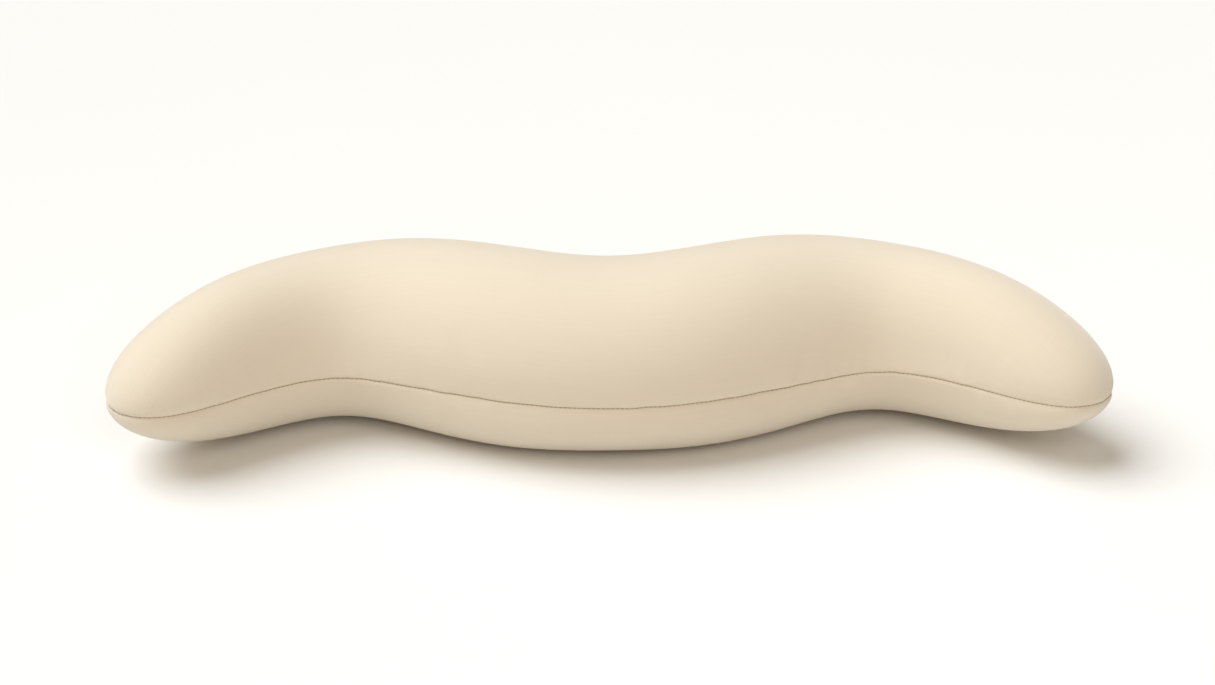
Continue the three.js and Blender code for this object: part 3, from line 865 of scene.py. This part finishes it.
metal = metal_finish()
for name, part_node, span, band in (
        ("upper_top_stop", "zip_top_stop_upper", TOP_STOP, (TAPE_SPLIT / 2, TOP_STOP_REACH)),
        ("lower_top_stop", "zip_top_stop_lower", TOP_STOP, (-TOP_STOP_REACH, -TAPE_SPLIT / 2)),
        ("bottom_stop", "zip_bottom_stop", BOTTOM_STOP, (-BOTTOM_STOP_REACH, BOTTOM_STOP_REACH))):
    low = (span[0], COIL_DEPTH[0], band[0])
    high = (span[1], COIL_DEPTH[1], band[1])
    mesh = block(low, high, STOP_ROUNDING)
    co = np.array([v.co for v in mesh.vertices])
    mesh.vertices.foreach_set("co", on_zip(*co.T).astype(np.float32).ravel())
    stop = placed(name, mesh)
    stop.data.materials.append(metal)
    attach(stop, "cushion")
    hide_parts(part_node)

# Slider: die-cast and lacquered. Two plates with turned-in rims hold both rows, a wedge between
# them parts the rows at the leading end, and two lugs on the outer plate carry the pull's pin.
SLIDER_LENGTH = 0.010
SLIDER_WIDTH = 0.0084
SLIDER_TAIL = 0.0064  # width at the trailing end
SLIDER_FACE = -0.0007  # the outer plate's outer side, from the seam's outline
SLIDER_PLATE = 0.0012
SLIDER_CORNER = 0.0013
INNER_FACE = -0.0051  # the inner plate's side towards the coils
RIM_THICKNESS = 0.0008
RIM_END = 0.0009  # short of the plates' ends
RIM_DEPTH = -0.0040  # just above the tapes
WEDGE_TAIL = 0.0035  # its points, each back from the leading end
WEDGE_WIDEST = 0.0008
WEDGE_TIP = 0.0002
WEDGE_HALF_WIDTH = 0.0012
PIN_RADIUS = 0.0005
EAR_GAP = 0.0038  # between the lugs
EAR_THICKNESS = 0.0008
EAR_FOOT = 0.0019  # half a lug's length, at the plate and round the pin
EAR_TOP = 0.0015
EAR_CROWN = 0.0010  # above the pin's middle
CAST_VOXEL = 0.00011
MILLI = 1000  # castings are worked at a thousand times their size, and brought back
ORDERS = {"y": lambda p, h: (p[0], h, p[1]), "z": lambda p, h: (p[0], p[1], h)}


def prism(outline, low, high, axis):
    """A solid between two heights, from an outline of points across the other two axes."""
    build = bmesh.new()
    order = ORDERS[axis]
    face = build.faces.new([build.verts.new(order(p, low)) for p in outline])
    moved = bmesh.ops.extrude_face_region(build, geom=[face])["geom"]
    lift = Vector(order((0, 0), high - low))
    ends = [g for g in moved if isinstance(g, bmesh.types.BMVert)]
    bmesh.ops.translate(build, vec=lift, verts=ends)
    bmesh.ops.recalc_face_normals(build, faces=build.faces[:])
    return build


def cast(name, solids, voxel, turned_to):
    """One skin round joined solids, with the soft edges of a casting, turned to its place."""
    mesh = bpy.data.meshes.new(name)
    whole = bmesh.new()
    for solid in solids:
        part = bpy.data.meshes.new("solid")
        solid.to_mesh(part)
        solid.free()
        whole.from_mesh(part)
        bpy.data.meshes.remove(part)
    whole.to_mesh(mesh)
    whole.free()
    carrier = linked(name, mesh)
    skin = carrier.modifiers.new("skin", "REMESH")
    skin.mode, skin.voxel_size, skin.use_smooth_shade = "VOXEL", voxel * MILLI, True
    soften = carrier.modifiers.new("soften", "SMOOTH")
    soften.factor, soften.iterations = 0.5, 4
    mesh.transform(Matrix.Scale(MILLI, 4))
    graph = bpy.context.evaluated_depsgraph_get()
    made = bpy.data.meshes.new_from_object(carrier.evaluated_get(graph), depsgraph=graph)
    bpy.data.objects.remove(carrier)
    made.transform(turned_to @ Matrix.Scale(1 / MILLI, 4))
    made.name = name
    return placed(name, made, 180)


slider_turn = Matrix.Rotation(slider_angle - math.pi / 2, 4, "Z")
slider_place = Vector(on_zip(SLIDER_PLACE, 0, 0))
slider_frame = Matrix.Translation(slider_place) @ slider_turn
pin_frame = Matrix.Translation(Vector((swing["pos_m"][0], swing["pos_m"][1], seam_z))) @ slider_turn


def arc(centre, radius, start, end, count):
    """Points on a round, from one angle to another."""
    return [(centre[0] + radius * math.cos(t), centre[1] + radius * math.sin(t))
            for t in np.linspace(start, end, count)]


def shield(half_length, tail, width, corner):
    """The plates' outline: wide at the leading end, narrower behind, with rounded corners."""
    ends = [(half_length, width / 2), (-half_length, tail / 2), (-half_length, -tail / 2),
            (half_length, -width / 2)]
    points = []
    for x, z in ends:
        cx, cz = x - math.copysign(corner, x), z - math.copysign(corner, z)
        middle = math.atan2(z - cz, x - cx)
        points += [(cx + corner * math.cos(middle + t), cz + corner * math.sin(middle + t))
                   for t in np.linspace(-math.pi / 4, math.pi / 4, 7)]
    return points


half = SLIDER_LENGTH / 2
plate_outline = shield(half, SLIDER_TAIL, SLIDER_WIDTH, SLIDER_CORNER)
wedge = [(half - WEDGE_TAIL, 0), (half - WEDGE_WIDEST, WEDGE_HALF_WIDTH), (half - WEDGE_TIP, 0),
         (half - WEDGE_WIDEST, -WEDGE_HALF_WIDTH)]
solids = [
    prism(plate_outline, SLIDER_FACE - SLIDER_PLATE, SLIDER_FACE, "y"),
    prism(plate_outline, INNER_FACE - SLIDER_PLATE, INNER_FACE, "y"),
    prism(wedge, INNER_FACE - SLIDER_PLATE / 2, SLIDER_FACE - SLIDER_PLATE / 3, "y"),
]
for way in (1, -1):
    rim = [(half - RIM_END, SLIDER_WIDTH / 2), (-half + RIM_END, SLIDER_TAIL / 2),
           (-half + RIM_END, SLIDER_TAIL / 2 - RIM_THICKNESS),
           (half - RIM_END, SLIDER_WIDTH / 2 - RIM_THICKNESS)]
    solids.append(prism([(x, way * z) for x, z in rim], RIM_DEPTH, SLIDER_FACE - 0.0002, "y"))
    lug = [(-EAR_FOOT, SLIDER_FACE - SLIDER_PLATE / 2), (EAR_FOOT, SLIDER_FACE - SLIDER_PLATE / 2)]
    lug += [(EAR_TOP * math.cos(t), PIN_RISE + EAR_CROWN * math.sin(t))
            for t in np.linspace(0, math.pi, 11)]
    near, far = sorted((way * EAR_GAP / 2, way * (EAR_GAP / 2 + EAR_THICKNESS)))
    solids.append(prism(lug, near, far, "z"))
pin = arc((0, PIN_RISE), PIN_RADIUS, 0, 2 * math.pi, 17)[:-1]
solids.append(prism(pin, -EAR_GAP / 2 - EAR_THICKNESS / 2, EAR_GAP / 2 + EAR_THICKNESS / 2, "z"))
slider = cast("slider", solids, CAST_VOXEL, slider_frame)
slider.data.materials.append(metal)
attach(slider, "slider")
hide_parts("zip_slider")

# Pull tab: a cast plate with a raised border and a finger hole, hung on the slider's pin by an
# eye, and lying back over the closed zip.
TAB_LENGTH = 0.022
TAB_WIDTH = 0.0056
TAB_THICKNESS = 0.0010
EYE_RADIUS = 0.0013
EYE_BORE = 0.0008
TAB_NECK = 0.0034
NECK_START = 0.0011  # from the pin; a little narrower there
NECK_END = 0.0050
SHOULDER_START = 0.0048
SHOULDER_END = 0.0070
SHOULDER_WIDTH = 0.86  # of the free end's width
TAB_BORDER = 0.0007
TAB_FLOOR = 0.00022  # below the border, on both faces
HOLE_RADIUS = 0.0013
HOLE_FLAT = 0.35  # half the angle of the hole's flat side, towards the eye
EYE_PLAY = 0.0006  # between the lugs, in all


def border(outer, inner, low, high, axis):
    """A solid between two heights and two outlines of the same count."""
    build = bmesh.new()
    loops = []
    for outline, h in ((outer, low), (outer, high), (inner, high), (inner, low)):
        loops.append([build.verts.new(ORDERS[axis](p, h)) for p in outline])
    for a, b in zip(loops, loops[1:] + loops[:1]):
        for n in range(len(outer)):
            k = (n + 1) % len(outer)
            build.faces.new((a[n], a[k], b[k], b[n]))
    bmesh.ops.recalc_face_normals(build, faces=build.faces[:])
    return build


def tab_outline(inset):
    """Round at the free end, tapering to the neck at the eye."""
    half_tab = TAB_WIDTH / 2 - inset
    end = (-TAB_LENGTH + TAB_WIDTH / 2, 0)
    side = [(-SHOULDER_END - inset, half_tab * SHOULDER_WIDTH),
            (-SHOULDER_START - inset, TAB_NECK / 2 - inset)]
    return (side[::-1] + arc(end, half_tab, math.pi / 2, 1.5 * math.pi, 17)
            + [(x, -z) for x, z in side])


eye_width = EAR_GAP - EYE_PLAY
neck = [(-NECK_END, TAB_NECK / 2), (-NECK_START, TAB_NECK / 2 - 0.0002),
        (-NECK_START, 0.0002 - TAB_NECK / 2), (-NECK_END, -TAB_NECK / 2)]
floor_half = TAB_THICKNESS / 2 - TAB_FLOOR
floor_outline = tab_outline(TAB_BORDER * 0.5)
hole_centre = (-TAB_LENGTH + TAB_WIDTH / 2 + 0.0003, 0)
hole = arc(hole_centre, HOLE_RADIUS, HOLE_FLAT, 2 * math.pi - HOLE_FLAT, len(floor_outline))
eye, bore = (arc((0, 0), radius, 0, 2 * math.pi, 33)[:-1] for radius in (EYE_RADIUS, EYE_BORE))
tab_solids = [
    border(eye, bore, -eye_width / 2, eye_width / 2, "z"),
    prism(neck, -TAB_THICKNESS / 2, TAB_THICKNESS / 2, "y"),
    border(tab_outline(0), tab_outline(TAB_BORDER), -TAB_THICKNESS / 2, TAB_THICKNESS / 2, "y"),
    border(floor_outline, hole, -floor_half, floor_half, "y"),
]
pull_tab = cast("pull_tab", tab_solids, CAST_VOXEL, pin_frame)
pull_tab.data.materials.append(metal)
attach(pull_tab, "pull_tab")
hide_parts("zip_pull_tab")

# Care label: a blank satin ribbon folded in a loop, its two ends caught in the middle of the back
# seam. It droops a little under its own weight.
LABEL_ROOT = 0.005
LABEL_DROOP = 0.007
LABEL_BOW = 0.0011  # half the height of its loop at the fold
LABEL_WAVE = 0.0006
LABEL_CLOTH = 0.0002
LABEL_COLOUR = (0.80, 0.77, 0.70, 1)
label_low, label_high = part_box("care_label")


def label_ribbon():
    """The ribbon's line out from the seam, round the fold and back, thickened and drawn across."""
    root_y = float(plan(np.zeros((1, 1)), np.full((1, 1), np.pi), 0)[1][0, 0])
    reach = label_high.y - root_y
    t = np.linspace(0, 1, 40)
    y = -LABEL_ROOT + (reach + LABEL_ROOT - LABEL_BOW) * t
    opened = rise(y, 0.3 * reach, reach - LABEL_BOW)
    spread = LABEL_CLOTH / 2 + 0.00004 + (LABEL_BOW - LABEL_CLOTH) * opened
    bend = np.linspace(math.pi / 2, -math.pi / 2, 15)[1:-1]
    line_y = np.concatenate([y, y[-1] + LABEL_BOW * np.cos(bend), y[::-1]])
    line_z = np.concatenate([spread, spread[-1] * np.sin(bend), -spread[::-1]])
    line_z = line_z - LABEL_DROOP * np.clip(line_y / reach, 0, 2) ** 2
    line = np.stack([line_y, line_z], -1)
    run = np.gradient(line, axis=0)
    normal = np.stack([-run[:, 1], run[:, 0]], -1) / np.linalg.norm(run, axis=1)[:, None]
    ring = np.concatenate([line + normal * LABEL_CLOTH / 2, (line - normal * LABEL_CLOTH / 2)[::-1]])
    length = np.concatenate([[0], np.cumsum(np.linalg.norm(np.diff(line, axis=0), axis=1))])
    length = np.concatenate([length, length[::-1]])
    across = np.linspace(label_low.x, label_high.x, 25)
    wave = LABEL_WAVE * np.sin(
        (across - label_low.x) / (label_high.x - label_low.x) * 2.2 * math.pi)
    out = np.clip(ring[:, 0] / reach, 0, 1) ** 2
    x, y = np.broadcast_arrays(across[:, None], ring[:, 0] + root_y)
    z = ring[:, 1] + seam_z + wave[:, None] * out
    uv = gathered(across[:, None], length)
    return lofted("care_label_ribbon", gathered(x, y, z), uv, open_ended=True)


def satin_finish():
    material, tree, shader = shader_of("label_satin")
    place = cloth_place(tree)
    fine = noise(place, (3800, 400, 1), 2)
    wired(shader, {
        "Base Color": shaded(fine, LABEL_COLOUR, 0.93, 1.05),
        "Normal": bumped(fine, 0.00004, 0.5), "Roughness": 0.42, "Sheen Weight": 0.25,
        "Anisotropic": 0.4})
    return material


label = label_ribbon()
label.data.materials.append(satin_finish())
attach(label, "cushion")
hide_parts("care_label")

# Lining: a closed bag of plain white cotton that keeps the core in shape when the cover is off.
# It is sewn from two panels, inside the cover's turned-in allowance.
LINING_INSET = 0.0076
LINING_CROWN = 0.0018
LINING_THICKNESS = 0.0006
LINING_YARN = 0.00045
LINING_STEPS = (220, 40)  # along and round
LINING_COLOUR = (0.80, 0.78, 0.73, 1)


def lining_finish():
    material, tree, shader = shader_of("lining_cotton")
    place = cloth_place(tree)
    along, across, _ = node(tree, "ShaderNodeSeparateXYZ", {0: place}).outputs
    warp, weft = (
        calc("SINE", times(way, 2 * math.pi / LINING_YARN))
        for way in (along, across))
    weave = calc("MULTIPLY_ADD", times(warp, weft), 0.5, 0.5)
    slub = noise(place, (60, 1400, 1), 3)
    # Painted shade: the cotton is darker where the weave dips, with random slubs besides.
    shade = plus(times(weave, 0.5), times(slub, 0.5))
    wired(shader, {
        "Base Color": shaded(shade, LINING_COLOUR, 0.88, 1.06),
        "Normal": bumped(shade, 0.0001, 0.7), "Roughness": 0.88, "Sheen Weight": 0.15})
    return material


def inner_rings(upper, inset, crown, base, along, around):
    """Rings of points over one half of a layer inside the cover."""
    s = stations(along)
    v = np.broadcast_to(rows(around, 0.5) * np.pi, (along + 1, around + 1))
    return surface(s, v, upper, inset, crown, base)


lining_cloth = lining_finish()
for upper, name, node_name in (
        (True, "top_lining", "liner_top_panel"),
        (False, "bottom_lining", "liner_bottom_panel")):
    outside = inner_rings(upper, LINING_INSET, LINING_CROWN, SEWN_EDGE, *LINING_STEPS)
    inside = inner_rings(upper, LINING_INSET + LINING_THICKNESS, LINING_CROWN + LINING_THICKNESS,
                         SEWN_EDGE + LINING_THICKNESS, *LINING_STEPS)
    uv = np.concatenate([cloth_lengths(outside), cloth_lengths(inside)[:, ::-1]], 1)
    panel = lofted(name, np.concatenate([outside, inside[:, ::-1]], 1), uv)
    panel.data.materials.append(lining_cloth)
    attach(panel, "cushion")
    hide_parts(node_name)

# Lining stitches: the lining's own seam, in the same spun thread as the cover's. It runs all the
# way round, because the core is sewn in and never comes out of the lining.
LINING_STITCH_RISE = 0.0001
lining_inset = LINING_INSET - LINING_STITCH_RISE
lining_line = np.concatenate([
    sewn_line(steps, np.full_like(steps, np.pi), lining_inset),
    sewn_line(steps[::-1], np.zeros_like(steps), lining_inset)[1:]])
lining_seam = sewn("lining_stitches", [lining_line])
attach(lining_seam, "cushion")
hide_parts("liner_seam_thread")

# Core: one block of soft open-cell memory foam, moulded to the cushion's wave. It fills the
# lining, gives the roll its shape and holds the cover taut.
CORE_INSET = 0.0088
CORE_CROWN = 0.0030
CORE_STEPS = (260, 44)  # along and round
FOAM_COLOUR = (0.80, 0.72, 0.52, 1)


def foam_finish():
    material, tree, shader = shader_of("open_cell_foam")
    place = solid_place(tree)
    cells = node(
        tree, "ShaderNodeTexVoronoi", {"Vector": place, "Scale": 1300}, feature="DISTANCE_TO_EDGE")
    walls = calc("MINIMUM", times(cells.outputs["Distance"], 5), 1)
    skin = noise(place, 45, 3)
    # Painted shade: the foam is darker inside each cell, away from its walls, with random blotches
    # besides.
    shade = plus(times(walls, -0.5), plus(skin, 0.3))
    wired(shader, {
        "Base Color": shaded(shade, FOAM_COLOUR, 0.8, 1.08),
        "Normal": bumped(calc("SUBTRACT", 1, walls), 0.0002, 0.6), "Roughness": 0.95})
    return material


halves = [inner_rings(upper, CORE_INSET, CORE_CROWN, 0, *CORE_STEPS) for upper in (True, False)]
core = lofted("core", np.concatenate([halves[0], halves[1][:, -2:0:-1]], 1))
core.data.materials.append(foam_finish())
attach(core, "cushion")
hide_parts("foam_core")

# Studio: a white table under a broad soft light from the upper left, a weaker one from the
# front and a dim warm surround.
TABLE_COLOUR = (0.84, 0.825, 0.80, 1)
table_mesh = bpy.data.meshes.new("table")
table_mesh.from_pydata([(-6, -6, 0), (6, -6, 0), (6, 9, 0), (-6, 9, 0)], [], [(0, 1, 2, 3)])
table_top = placed("table", table_mesh)
table_material, table_tree, table_shader = shader_of("table_white")
grain = noise(solid_place(table_tree), 3)
table_tint = shaded(grain, TABLE_COLOUR, 0.99, 1.01)
wired(table_shader, {"Base Color": table_tint, "Roughness": 0.8})
table_mesh.materials.append(table_material)
table_mesh.transform(Matrix.Translation((0, 0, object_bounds()[0].z)))


def light(name, kind, place, towards, **settings):
    """A light at a place, turned towards a direction."""
    lamp = linked(name, bpy.data.lights.new(name, kind))
    lamp.location = place
    lamp.rotation_euler = Vector(towards).to_track_quat("-Z", "Y").to_euler()
    for key, value in settings.items():
        setattr(lamp.data, key, value)


light("front", "AREA", (0.5, -1.8, 1.8), (-0.5, 1.8, -1.75),
      shape="DISK", size=1.6, energy=15, color=(1, 0.96, 0.91))
light("key", "SUN", (0, 0, 0), (1.25, -0.25, -2.25),
      energy=3.0, angle=math.radians(50), color=(0.90, 0.95, 1.0))
world = bpy.data.worlds.new("surround")
world.use_nodes = True
surround = world.node_tree.nodes["Background"]
wired(surround, {"Color": (1, 0.89, 0.74, 1), "Strength": 0.35})
bpy.context.scene.world = world
bpy.context.scene.view_settings.view_transform = "Standard"

# Camera: a long lens from the front, a third of the way up.
CAMERA_AIM = Vector((0, -0.0089, 0.049))
CAMERA_AWAY = 1.95
CAMERA_AZIMUTH = math.radians(-2.81)
CAMERA_ELEVATION = math.radians(30)
CAMERA_ROLL = math.radians(0.77)
back = Vector((
    math.sin(CAMERA_AZIMUTH) * math.cos(CAMERA_ELEVATION),
    -math.cos(CAMERA_AZIMUTH) * math.cos(CAMERA_ELEVATION),
    math.sin(CAMERA_ELEVATION)))
camera_data = bpy.data.cameras.new("camera")
camera_data.lens, camera_data.sensor_width = 92.4, 36
camera_data.shift_x, camera_data.shift_y = -0.0019, 0.0138
camera = linked("camera", camera_data)
turn = (-back).to_track_quat("-Z", "Y").to_matrix().to_4x4() @ Matrix.Rotation(CAMERA_ROLL, 4, "Z")
camera.matrix_world = Matrix.Translation(CAMERA_AIM + back * CAMERA_AWAY) @ turn
bpy.context.scene.camera = camera
